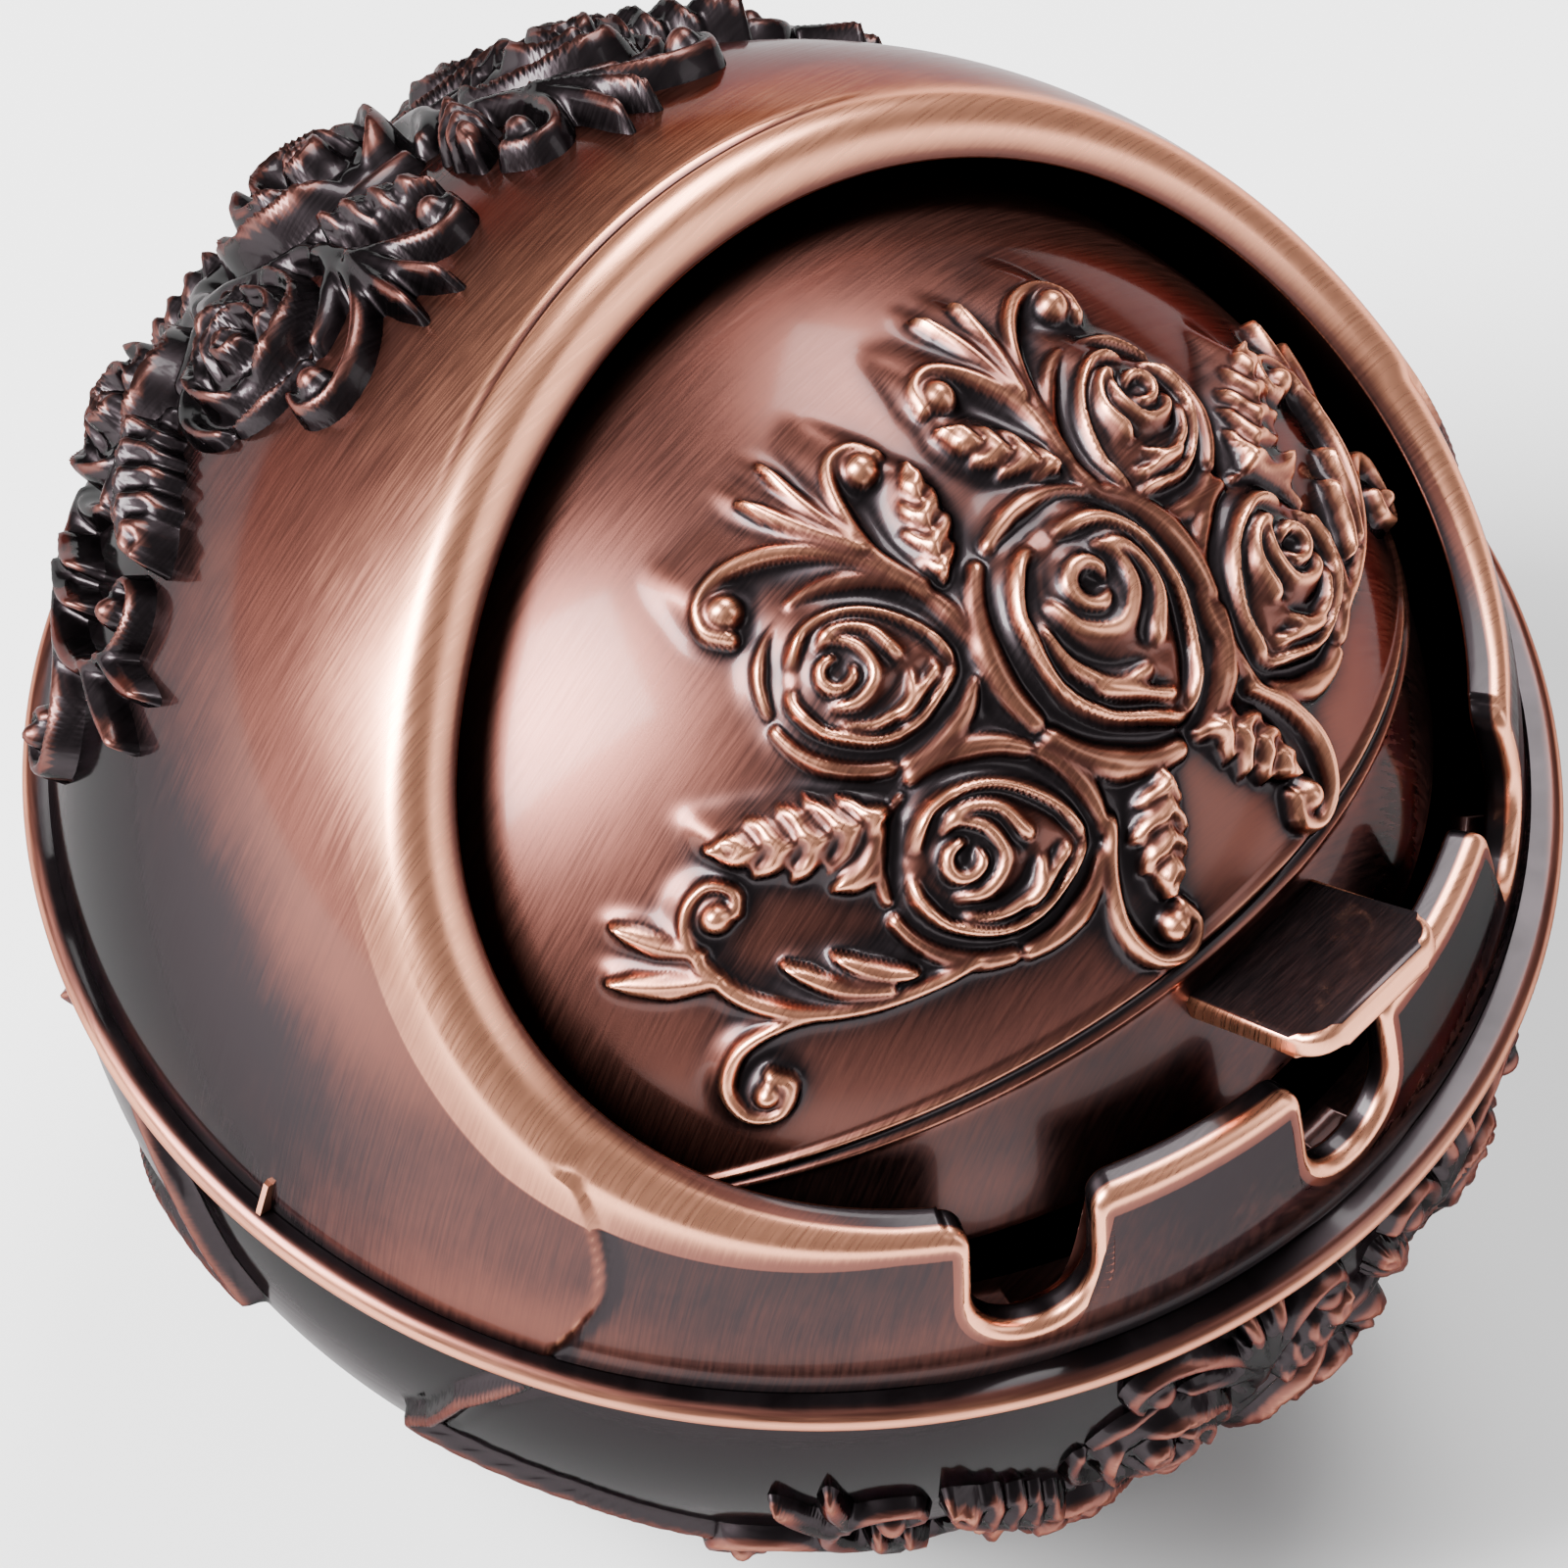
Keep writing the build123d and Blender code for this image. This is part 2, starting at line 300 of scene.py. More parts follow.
def inside(path, gx, gy):
    """Signed distance to a closed outline, positive inside."""
    best = np.full(gx.shape, 1e9)
    wind = np.zeros(gx.shape)
    p = np.vstack([path, path[:1]])
    for a, b in zip(p[:-1], p[1:]):
        e = b - a
        t = np.clip(((gx - a[0]) * e[0] + (gy - a[1]) * e[1]) / (e @ e + 1e-12), 0, 1)
        best = np.minimum(best, (gx - a[0] - t * e[0]) ** 2 + (gy - a[1] - t * e[1]) ** 2)
        up = (a[1] <= gy) & (b[1] > gy)
        down = (a[1] > gy) & (b[1] <= gy)
        left = e[0] * (gy - a[1]) - (gx - a[0]) * e[1]
        wind += (up & (left > 0)).astype(float) - (down & (left < 0)).astype(float)
    return np.sqrt(best) * np.where(wind != 0, 1, -1)


def rose(chart, x, y, size, spin, height, mirror=False):
    """A rose in full: a domed heart with curled petals round a bud, ringed by loose petals.
    A mirrored rose is flipped left to right."""
    c, s = math.cos(math.radians(spin)), math.sin(math.radians(spin))
    flip = -1 if mirror else 1

    def place(points):
        p = np.array(points, float) * size
        return np.stack([x + flip * (p[:, 0] * c - p[:, 1] * s), y + p[:, 0] * s + p[:, 1] * c], -1)

    # Loose outer petals
    for low, high, radius in ROSE_OUTER:
        angles = np.radians(np.linspace(low, high, 7))
        ring = [(radius * math.cos(a) * 0.98, -0.28 + radius * math.sin(a) * 1.08) for a in angles]
        path = place(ring)
        chart.tube(path, size * 0.155, height * 0.52, ends=(0.7, 0.7))
    # Heart
    outline = smooth_path(place(ROSE_BODY + ROSE_BODY[:1]), 0.4)[:-1]
    window, gx, gy = chart.window(outline.min(0) - 1, outline.max(0) + 1)
    depth = inside(outline, gx, gy)
    rise = np.clip(depth / (0.62 * size), 0, 1)
    dome = height * (0.3 * np.clip(depth / 0.45, 0, 1) ** 0.5 + 0.42 * (1 - (1 - rise) ** 2))
    chart.h[window] = np.where(depth > 0, np.maximum(dome, 0), chart.h[window])
    ditch = np.exp(-(((depth + 0.35) / 0.4) ** 2)) * (depth <= 0)
    chart.h[window] = np.maximum(chart.h[window] * (1 - 0.9 * ditch), 0)
    for points, amp in ROSE_LIPS:
        path = smooth_path(place(points))
        if flip < 0:
            path = path[::-1]
        chart.lip(path, amp * 0.55 * height, inner=0.1 * size, outer=0.04 * size + 0.08)
    bud = place([(0.02, 0.02)])[0]
    window, gx, gy = chart.window(bud - 0.12 * size, bud + 0.12 * size)
    hole = np.exp(-(((gx - bud[0]) ** 2 + (gy - bud[1]) ** 2) / (0.085 * size) ** 2))
    chart.h[window] -= 0.5 * height * hole


def curl(chart, points, knob, height):
    """A stem that ends in a round knob."""
    chart.tube(points, STEM_WIDTH, height, ends=(0.75, 0.85))
    chart.knob(knob[0], knob[1], knob[2], height * 1.25)


# Half of the spray, for the side at negative x; the other half is its mirror image.
# A stem: points, knob (x, y, radius) and share of the full height.
# A leaf: points, width, number of lobes and share of the full height.
# A side rose: x, y, size, spin in degrees and share of the full height. It stands on both sides.
STEM_WIDTH = 0.85
STEMS = (
    ([(-7.6, 9.5), (-9.2, 14), (-12.2, 18), (-15.8, 19.9), (-18.8, 19.6), (-20.0, 17.8), (-19.2, 16.2)],
     (-18.2, 17.9, 1.5), 0.72),
    ([(-7.2, 10), (-8.2, 14), (-7.4, 17.8), (-5.6, 20.3), (-3.5, 20.2), (-2.6, 18.6)],
     (-4.2, 18.6, 1.5), 0.72),
    ([(-31.4, 1.6), (-30.6, 2.8), (-31.7, 4.3), (-33.7, 4.0), (-35.1, 2.2), (-35.4, -0.6), (-34.5, -4),
      (-32, -7.2), (-28, -9.7), (-23.5, -11.2), (-20.5, -11.7)], (-32.6, 2.2, 1.35), 0.75),
    ([(-30, -8.6), (-33.5, -7.0), (-37, -6.7), (-39.3, -8.6), (-39.3, -11.2), (-37.4, -12.5), (-35.7, -11.2),
      (-36.4, -9.7)], (-37.3, -10.7, 1.2), 0.78),
    ([(-7.6, -10.3), (-9.8, -13.5), (-10.8, -17), (-9.8, -20.2), (-7.5, -21.4), (-5.9, -20.2), (-6.3, -18.4)],
     (-7.4, -19.2, 1.35), 0.7),
)
LEAVES = (
    ([(-8.6, 14.5), (-10.4, 18.5), (-11.8, 23)], 1.0, 0, 0.7),
    ([(-8.5, 15.5), (-9.0, 19.5), (-8.6, 24)], 0.9, 0, 0.65),
    ([(-6.0, 9.6), (-4.0, 13.0), (-1.8, 16.8)], 1.9, 4, 0.75),
    ([(-20.0, 0.6), (-24.5, 2.4), (-30.0, 6.2)], 2.9, 5, 0.85),
    ([(-20.5, -0.2), (-23.0, -1.6), (-25.4, -1.4)], 1.6, 0, 0.7),
    ([(-34.9, -1.6), (-38.3, 0.6), (-41.4, 3.4)], 1.35, 0, 0.6),
    ([(-34.8, 0.6), (-37.0, 3.4), (-38.6, 6.6)], 1.1, 0, 0.6),
    ([(-26.2, -9.6), (-29.0, -7.2), (-31.2, -3.4)], 1.0, 0, 0.75),
    ([(-24.2, -9.8), (-26.4, -8.0), (-28.2, -5.0)], 0.95, 0, 0.75),
    ([(-2.8, -10.2), (-5.0, -13.2), (-6.8, -17.0)], 2.3, 4, 0.8),
)
SIDE_ROSES = ((15.9, 9.4, 6.6, 52, 0.9), (17.4, -5.4, 7.3, 57, 0.95))
# A slope drawn out from the relief's far sides is built in this many steps of this length
DRAFT_STEPS = 33
DRAFT_STEP = 0.26


def mirrored(points):
    return [(-x, y) for x, y in points]


def blur(field, radius):
    """Three box filters, close to a Gaussian of that radius in millimetres."""
    n = max(1, int(radius / PITCH))
    out = field
    for axis in (0, 1):
        for _ in range(3):
            pad = [(n + 1, n), (0, 0)] if axis == 0 else [(0, 0), (n + 1, n)]
            total = np.cumsum(np.pad(out, pad, mode="edge"), axis=axis)
            size = out.shape[axis]
            high = np.take(total, np.arange(2 * n + 1, 2 * n + 1 + size), axis=axis)
            low = np.take(total, np.arange(0, size), axis=axis)
            out = (high - low) / (2 * n + 1)
    return out


def bouquet(height):
    """The rose spray: five roses with stems, leaves and curled tendrils."""
    chart = Chart()
    for side in (1, -1):
        for points, width, lobes, tall in LEAVES:
            pts = points if side > 0 else mirrored(points)
            chart.leaf(pts, width, height * tall, lobes=lobes)
        for points, knob, tall in STEMS:
            pts = points if side > 0 else mirrored(points)
            curl(chart, pts, (side * knob[0], knob[1], knob[2]), height * tall * 0.8)
    for x, y, size, spin, tall in SIDE_ROSES:
        rose(chart, -x, y, size, spin, height * tall)
        rose(chart, x, y, size, spin, height * tall, mirror=True)
    rose(chart, 0.9, 2.6, 9.0, 0, height * 1.1)
    chart.h = np.maximum(blur(chart.h, 0.13), 0)
    return chart


def sample(chart, field, u, v):
    """Bilinear reading of a field at chart places."""
    fx = np.clip((u - chart.x[0]) / PITCH, 0, len(chart.x) - 1.001)
    fy = np.clip((v - chart.y[0]) / PITCH, 0, len(chart.y) - 1.001)
    i, j = fy.astype(int), fx.astype(int)
    a, b = fy - i, fx - j
    return (
        field[i, j] * (1 - a) * (1 - b) + field[i + 1, j] * a * (1 - b)
        + field[i, j + 1] * (1 - a) * b + field[i + 1, j + 1] * a * b
    )


class Spray:
    """The bouquet laid on a ball: where its centre points, its scale, and the mould's draw."""

    def __init__(self, chart, centre, right, radius, scale=1.0, shift=0.0, draw=None):
        self.axis = unit(centre)
        self.right = unit(np.array(right) - self.axis * (np.array(right) @ self.axis))
        self.up = np.cross(self.axis, self.right)
        self.radius, self.scale, self.shift = radius, scale, shift
        self.chart = chart
        self.h = chart.h
        if draw is not None:
            self.h = self.drafted(unit(draw))
        fine = blur(self.h, 0.35)
        wide = blur(self.h, 1.1)
        self.patina_and_shade = np.clip((fine - self.h) * 2.2 + (wide - self.h) * 0.9, -1.2, 1.2)

    def directions(self, u, v):
        """Directions from the ball's centre to places at u to the right and v up from the middle."""
        r = np.hypot(u, v) + 1e-9
        a = r / self.radius
        return (
            np.cos(a)[..., None] * self.axis
            + (np.sin(a) * u / r)[..., None] * self.right
            + (np.sin(a) * v / r)[..., None] * self.up
        )

    def drafted(self, draw):
        """Sides that face away from the draw of the mould are drawn out into slopes."""
        gx, gy = np.meshgrid(self.chart.x, self.chart.y)
        d = self.directions((gx + self.shift) * self.scale, gy * self.scale)
        cosine = d @ draw
        away = d * cosine[..., None] - draw
        run = np.clip(np.sqrt(np.clip(1 - cosine**2, 0, 1)) / np.clip(cosine, 0.2, 1), 0, 4.0)
        ex, ey = away @ self.right, away @ self.up
        size = np.hypot(ex, ey) + 1e-9
        ex, ey = ex / size, ey / size
        slopes = np.zeros_like(self.h)
        smooth = blur(self.h, 0.5)
        for k in range(1, DRAFT_STEPS + 1):
            step = DRAFT_STEP * k
            lifted = sample(self.chart, smooth, gx - ex * step, gy - ey * step)
            slopes = np.maximum(slopes, lifted - step / np.maximum(run, 0.05))
        return np.maximum(self.h, blur(slopes, 0.55))

    def read(self, d):
        """Height and cavity for directions from the ball's centre."""
        c = np.clip(d @ self.axis, -1, 1)
        ex, ey = d @ self.right, d @ self.up
        size = np.hypot(ex, ey) + 1e-9
        r = np.arccos(c) * self.radius
        u = ex / size * r / self.scale - self.shift
        v = ey / size * r / self.scale
        x0, x1, y0, y1 = CHART
        ok = (u > x0 + 1) & (u < x1 - 1) & (v > y0 + 1) & (v < y1 - 1)
        height = np.where(ok, sample(self.chart, self.h, u, v), 0)
        patina_and_shade = np.where(ok, sample(self.chart, self.patina_and_shade, u, v), 0)
        return height, patina_and_shade


# ------------------------------------------------------------
# Lid
# ------------------------------------------------------------
def spaced(stops):
    """Stations from (start, step) pairs: the step holds until the next start."""
    out = []
    for (a, step), (b, _) in zip(stops[:-1], stops[1:]):
        n = max(1, int(round((b - a) / step)))
        out += list(a + (b - a) * np.arange(n) / n)
    return np.array(out + [stops[-1][0]])


def subset(count, every):
    index = list(range(0, count - 1, every))
    return np.array(index + [count - 1])


def closed_sheet(outer, inner_of, every):
    """Solid between a fine outer grid and a coarse inner one: returns points and faces."""
    rows, cols = outer.shape[:2]
    ri, ci = subset(rows, every), subset(cols, every)
    inner = inner_of(outer[np.ix_(ri, ci)])
    points = np.vstack([outer.reshape(-1, 3), inner.reshape(-1, 3)])
    start = rows * cols
    faces = grid_faces(rows, cols)
    faces += grid_faces(len(ri), len(ci), start=start, flip=True)

    def fine(i, j):
        return i * cols + j

    def coarse(i, j):
        return start + i * len(ci) + j

    def wall(fine_index, stops, coarse_index, flip):
        for k in range(len(stops) - 1):
            a, b = stops[k], stops[k + 1]
            mid = (a + b) // 2
            c0, c1 = coarse_index(k), coarse_index(k + 1)
            tris = [(c0, fine_index(m + 1), fine_index(m)) for m in range(a, mid)]
            tris.append((c0, c1, fine_index(mid)))
            tris += [(c1, fine_index(m + 1), fine_index(m)) for m in range(mid, b)]
            for t in tris:
                faces.append(t[::-1] if flip else t)

    wall(lambda m: fine(0, m), ci, lambda k: coarse(0, k), False)
    wall(lambda m: fine(rows - 1, m), ci, lambda k: coarse(len(ri) - 1, k), True)
    wall(lambda m: fine(m, 0), ri, lambda k: coarse(k, 0), True)
    wall(lambda m: fine(m, cols - 1), ri, lambda k: coarse(k, len(ci) - 1), False)
    return points, faces


def bump(x, centre, width):
    return np.exp(-(((x - centre) / width) ** 2))


def make_lid(spray):
    turn = spaced([(LID_FRONT, 1.0), (26, 0.34), (98, 1.5), (LID_BACK, 1)])
    slant = spaced([(-79, 1.6), (-60, 0.34), (60, 1.6), (79, 1)])
    tt, ss = np.meshgrid(turn, slant, indexing="ij")
    d = turned(tt, ss)
    height, patina_and_shade = spray.read(d)
    capped = RELIEF_FREE + RELIEF_SPAN * (1 - np.exp((RELIEF_FREE - height) / RELIEF_SPAN))
    height = np.where(height > RELIEF_FREE, capped, height)
    arc = (tt - RIB_ANGLE) * math.pi / 180 * LID_R * np.cos(np.radians(ss)) ** 0.35
    rib = 0.42 * bump(arc, 0.0, 0.36) + 0.36 * bump(arc, -1.4, 0.34)
    height = np.maximum(height, rib)
    # a darker tone all over the lid, and painted shade on the band below the rib, nearest the front
    patina_and_shade = patina_and_shade + 0.38 + 0.25 * np.clip((RIB_ANGLE - 1 - tt) / 3, 0, 1)
    patina_and_shade = patina_and_shade - 0.55 * bump(arc, 0.0, 0.3) - 0.5 * bump(arc, -1.4, 0.28) + 0.7 * bump(arc, -0.7, 0.35)
    edge = np.minimum(np.minimum(tt - LID_FRONT, LID_BACK - tt) * 0.75, 9)
    round_off = np.where(edge < 0.8, 0.8 - np.sqrt(np.clip(0.64 - (0.8 - edge) ** 2, 0, 1)), 0)
    outer = d * (LID_R + height - round_off)[..., None]
    patina_and_shade = patina_and_shade - 0.6 * bump(edge, 0.3, 0.5)
    inner_of = lambda p: unit(p) * (LID_R - LID_T)
    points, faces = closed_sheet(outer, inner_of, 6)
    patina_and_shade = np.append(patina_and_shade, np.full(len(points) - patina_and_shade.size, HIDDEN_CAVITY))
    return make_object("lid", points, faces, "lid", patina_and_shade, ["lid_dome"])


def make_ear(side, name):
    """Round hinge ear of the lid, with its bore."""
    n = 72
    a = 2 * np.pi * np.arange(n) / n
    stations = [
        (EAR_BORE_R, EAR_IN_X), (EAR_R - 0.4, EAR_IN_X), (EAR_R, EAR_IN_X + 0.4), (EAR_R, EAR_OUT_X - 0.4),
        (EAR_R - 0.4, EAR_OUT_X), (EAR_BORE_R, EAR_OUT_X), (EAR_BORE_R, EAR_IN_X),
    ]
    rings = [np.stack([np.full(n, side * x), r * np.cos(a), r * np.sin(a)], -1) for r, x in stations[:-1]]
    points = np.vstack(rings)
    faces = []
    for k in range(len(rings)):
        for j in range(n):
            a0, a1 = k * n + j, k * n + (j + 1) % n
            b0, b1 = (k + 1) % len(rings) * n + j, (k + 1) % len(rings) * n + (j + 1) % n
            faces.append((a0, a1, b1, b0) if side > 0 else (a0, b0, b1, a1))
    patina_and_shade = np.full(len(points), 0.2)
    return make_object(name, points, faces, "lid", patina_and_shade, smooth=False)


# ------------------------------------------------------------
# Upper shell
# ------------------------------------------------------------
def mouth_profile():
    """The rim seen from the side, as (Y, Z) points from the back of the top to the front."""
    corner_y = (FRONT_WALL_Z * math.cos(MOUTH_TILT) - MOUTH_OFFSET) / math.sin(MOUTH_TILT)
    tangent = MOUTH_BEND_R * math.tan(MOUTH_TILT / 2)
    line_dir = np.array([math.cos(MOUTH_TILT), math.sin(MOUTH_TILT)])
    corner = np.array([corner_y, FRONT_WALL_Z])
    start = corner + line_dir * tangent
    centre = np.array([corner_y - tangent, FRONT_WALL_Z + MOUTH_BEND_R])
    return corner, start, centre


def profile_z(y):
    """Height of the rim's side profile over a given Y."""
    corner, start, centre = mouth_profile()
    line = FRONT_WALL_Z + (y - corner[0]) * math.tan(MOUTH_TILT)
    arc = centre[1] - np.sqrt(np.clip(MOUTH_BEND_R**2 - (y - centre[0]) ** 2, 0, None))
    return np.where(y > start[0], line, np.where(y > centre[0], arc, FRONT_WALL_Z))


def rest_outline():
    """Half of a cigarette rest's outline as (sideways, Z), from the wall's top to the bottom."""
    half = REST_WIDTH / 2
    out = []
    for a in np.linspace(90, 180, 9):
        out.append((half + REST_LIP_R + REST_LIP_R * math.cos(math.radians(a)),
                    FRONT_WALL_Z - REST_LIP_R + REST_LIP_R * math.sin(math.radians(a))))
    for z in np.linspace(FRONT_WALL_Z - REST_LIP_R, REST_BOTTOM_Z + half, 9)[1:]:
        out.append((half, z))
    for a in np.linspace(0, -90, 13)[1:]:
        t = math.radians(a)
        out.append((half * math.cos(t), REST_BOTTOM_Z + half + half * math.sin(t)))
    return out


def mouth_loop():
    """Recipe of the rim: each entry gives a point for any ball radius, from the front round by +X."""
    right_half = []
    half = rest_outline()
    reach = REST_WIDTH / 2 + REST_LIP_R

    def rest(angle, sideways, z):
        a = math.radians(angle)
        f = np.array([math.sin(a), -math.cos(a)])
        l = np.array([math.cos(a), math.sin(a)])
        return lambda rho: np.append(f * math.sqrt(rho**2 - sideways**2 - z**2) + l * sideways, z)

    def top(phi):
        a = math.radians(phi)
        def at(rho):
            r = math.sqrt(rho**2 - FRONT_WALL_Z**2)
            return np.array([r * math.sin(a), -r * math.cos(a), FRONT_WALL_Z])
        return at

    lip_angle = math.degrees(math.asin(reach / 45.5))
    for w, z in half[::-1]:
        right_half.append(rest(0, w, z))
    outer_angle = REST_ANGLES[2]
    for phi in np.linspace(lip_angle, outer_angle - lip_angle, 34)[1:-1]:
        right_half.append(top(phi))
    for w, z in half:
        right_half.append(rest(outer_angle, -w, z))
    for w, z in half[::-1][1:]:
        right_half.append(rest(outer_angle, w, z))
    return right_half


def shell_rim(rho):
    """Points of the rim on a ball of radius rho, one closed loop; the same count for every rho."""
    pts = [f(rho) for f in mouth_loop()]
    last = pts[-1]
    # the side: along the profile from the last rest's end to the crown
    ys = np.linspace(last[1], 20, 4000)
    zs = profile_z(ys)
    keep = ys**2 + zs**2 < rho**2
    ys, zs = ys[keep], zs[keep]
    xs = np.sqrt(rho**2 - ys**2 - zs**2)
    zs[0], ys[0], xs[0] = last[2], last[1], last[0]
    # exact crown point, where x = 0
    lo, hi = ys[-1], ys[-1] + 0.05
    for _ in range(40):
        m = (lo + hi) / 2
        if m**2 + float(profile_z(np.array(m))) ** 2 < rho**2:
            lo = m
        else:
            hi = m
    crown = np.array([0.0, lo, float(profile_z(np.array(lo)))])
    line = np.vstack([np.stack([xs, ys, zs], -1), crown])
    length = np.concatenate([[0], np.cumsum(np.linalg.norm(np.diff(line, axis=0), axis=1))])
    even = np.linspace(0, length[-1], RIM_SIDE_POINTS + 1)[1:]
    side = np.stack([np.interp(even, length, line[:, k]) for k in range(3)], -1)
    side = unit(side) * rho
    half = np.vstack([pts, side])
    mirror = half[1:-1][::-1] * np.array([-1, 1, 1])
    return np.vstack([half, mirror])


SHOULDER_LINE = smooth_path(SHOULDER, 0.4)
WALL_REGION = np.vstack([SHOULDER_LINE, [(SHOULDER[-1][0], 90), (-90, 90), (-90, SHOULDER[0][1])]])


def outer_surface(d):
    """Radius of the shell's outside along a direction, and the way from the wall's shoulder."""
    front = inside(WALL_REGION, d[:, 1] * BALL_R, d[:, 2] * BALL_R)
    wall_r = WALL_SHIFT_Y * d[:, 1] + np.sqrt(BALL_R**2 - WALL_SHIFT_Y**2 * (1 - d[:, 1] ** 2))
    share = np.clip(front / 0.45 + 0.3, 0, 1)
    share = share * share * (3 - 2 * share)
    return BALL_R + (wall_r - BALL_R) * share, front


def between(a, b, t):
    """Point at a share t of the great circle from direction a to direction b."""
    omega = np.arccos(np.clip((a * b).sum(1), -1, 1))[:, None]
    return unit((np.sin((1 - t) * omega) * a + np.sin(t * omega) * b) / np.maximum(np.sin(omega), 1e-9))


def make_shell():
    """Rows of points from the rim down the outside, round the skirt and up the inside."""
    rim_in, rim_out = shell_rim(INNER_R), shell_rim(BALL_R)
    n = len(rim_in)
    ahead = np.roll(rim_out, -1, 0) - np.roll(rim_out, 1, 0)
    into = unit(np.cross(ahead, unit(rim_out)))
    top_r, _ = outer_surface(unit(rim_out + into * 1.2))
    azimuth = np.unwrap(np.arctan2(rim_out[:, 0], -rim_out[:, 1]))
    turn = np.degrees(np.minimum(azimuth - azimuth[0], 2 * math.pi - azimuth + azimuth[0]))
    # shares of the front wall and of the back, along the rim
    front = np.clip((FRONT_END - turn) / RIM_FADE, 0, 1)
    back = np.clip((turn - BACK_START) / RIM_FADE, 0, 1)
    round_r = RIM_ROUND_FRONT * front + RIM_ROUND_BACK * (1 - front)
    rows = []

    def add(points, patina_and_shade):
        rows.append((points, np.zeros(n) + patina_and_shade))

    def rim_point(rho, down):
        """A point of the rim at radius rho, moved into the metal by a distance."""
        t = ((rho - INNER_R) / (BALL_R - INNER_R))[:, None]
        p = rim_in * (1 - t) + rim_out * t + into * down[:, None]
        return unit(p) * rho[:, None]

    # rounded outer edge of the rim
    for a in np.linspace(0, 90, 8):
        t = math.radians(a)
        rho, down = top_r - round_r * (1 - math.sin(t)), round_r * (1 - math.cos(t))
        add(rim_point(rho, down), -0.75 - 0.35 * math.sin(2 * t) * (0.4 + 0.6 * front))
    # plain band, with a fine groove in it round the back
    for k in range(1, BAND_ROWS + 1):
        down = round_r + k * (0.06 * front + 0.24 * (1 - front))
        d = unit(rim_out + into * down[:, None])
        base, gap = outer_surface(d)
        way = down - round_r
        groove = bump(way, 0.85, 0.2) * back
        lip = bump(way, 1.35, 0.22) * back
        rubbed = 0.8 * lip + 0.8 * np.exp(-way / 0.7) * (1 - 0.2 * front)
        # on the front wall the band also takes the wall's painted shade
        patina_and_shade = 1.2 * groove - rubbed + 0.65 * front * np.clip(gap / 1.5, 0, 1)
        add(d * (base - 0.3 * groove + 0.12 * lip)[:, None], patina_and_shade)
        last = d
    # spokes from the band to the seam
    pace = np.abs(np.diff(np.append(azimuth, azimuth[0] + 2 * math.pi))) * 46
    pace += 0.22 * np.linalg.norm(np.roll(rim_out, -1, 0) - rim_out, axis=1)
    way = np.concatenate([[0], np.cumsum(pace)])
    foot = np.interp(way[:-1], [0, way[n // 2], way[-1]], [0, math.pi, 2 * math.pi])

    def ring(radius, z):
        return np.stack([radius * np.sin(foot), -radius * np.cos(foot), np.full(n, z)], -1)

    target = unit(ring(math.sqrt(BALL_R**2 - SEAM_Z**2), SEAM_Z))
    for k in range(1, SHELL_ROWS + 1):
        d = between(last, target, k / SHELL_ROWS)
        base, gap = outer_surface(d)
        low = np.clip(1 - (d[:, 2] * BALL_R - SEAM_Z) / 1.5, 0, 1)
        on_wall = np.clip(gap / 0.5, 0, 1)
        p = d * base[:, None] + unit(d * np.array([1, 1, 0])) * (0.55 * low**2 * on_wall)[:, None]
        # painted shade on the front wall, far behind the mouth and in a band partway down the ball; the
        # seam's joint left dark low on the ball
        wall = np.clip(gap / 0.8, 0, 1)
        far = np.clip((FAR_START - BALL_R * (d @ MOUTH_AXIS)) / FAR_SPAN, 0, 1)
        foot_shade = bump(BALL_R * d[:, 2], FOOT_SHADE_Z, FOOT_SHADE_WIDTH)
        # a painted highlight along the shoulder's edge and painted shade at the foot of its step
        patina_and_shade = -0.6 * bump(gap, -0.1, 0.2) * (gap > -1.5) + 0.3 * bump(gap, 0.75, 0.5)
        dark = 0.6 * low + 0.3 * wall + 0.8 * far * far * (3 - 2 * far) + 0.9 * foot_shade
        patina_and_shade = patina_and_shade + 0.95 * np.tanh(dark / 0.95)
        if k == SHELL_ROWS:
            p[:, 2] = SEAM_Z
        add(p, patina_and_shade)
    # under the edge, down the skirt and up inside
    for radius, z in ((SKIRT_OUT_R, SEAM_Z), (SKIRT_OUT_R, SKIRT_LOW_Z), (SKIRT_IN_R, SKIRT_LOW_Z),
                      (SKIRT_IN_R, SKIRT_TOP_Z), (math.sqrt(INNER_R**2 - SKIRT_TOP_Z**2), SKIRT_TOP_Z)):
        add(ring(radius, z), 0.6)
    foot_dir, rim_dir = unit(rows[-1][0]), unit(rim_in + into * 0.25)
    for k in range(1, 15):
        add(between(foot_dir, rim_dir, k / 14) * INNER_R, 0.5)
    # inner edge and face of the rim
    face = 0.95 * front + 0.3 * (1 - front)
    add(rim_point(np.full(n, INNER_R + 0.07), np.full(n, 0.07)), -0.2)
    add(rim_point(np.full(n, INNER_R + 0.25), np.zeros(n)), face + 0.15)
    for t in (0.35, 0.7, 0.93):
        rho = (INNER_R + 0.25) * (1 - t) + (top_r - round_r) * t
        edge_share = max(0, t - 0.7) / 0.23 * front + (1 - front) * t
        add(rim_point(rho, np.zeros(n)), face - (face + 0.7) * edge_share)
    points = np.vstack([r[0] for r in rows])
    patina_and_shade = np.concatenate([r[1] for r in rows])
    faces = grid_faces(len(rows), n, wrap=True)
    last_row = (len(rows) - 1) * n
    faces += [(last_row + j, last_row + (j + 1) % n, (j + 1) % n, j) for j in range(n)]
    return make_object("shell", points, faces, "shell", patina_and_shade, ["upper_shell"])


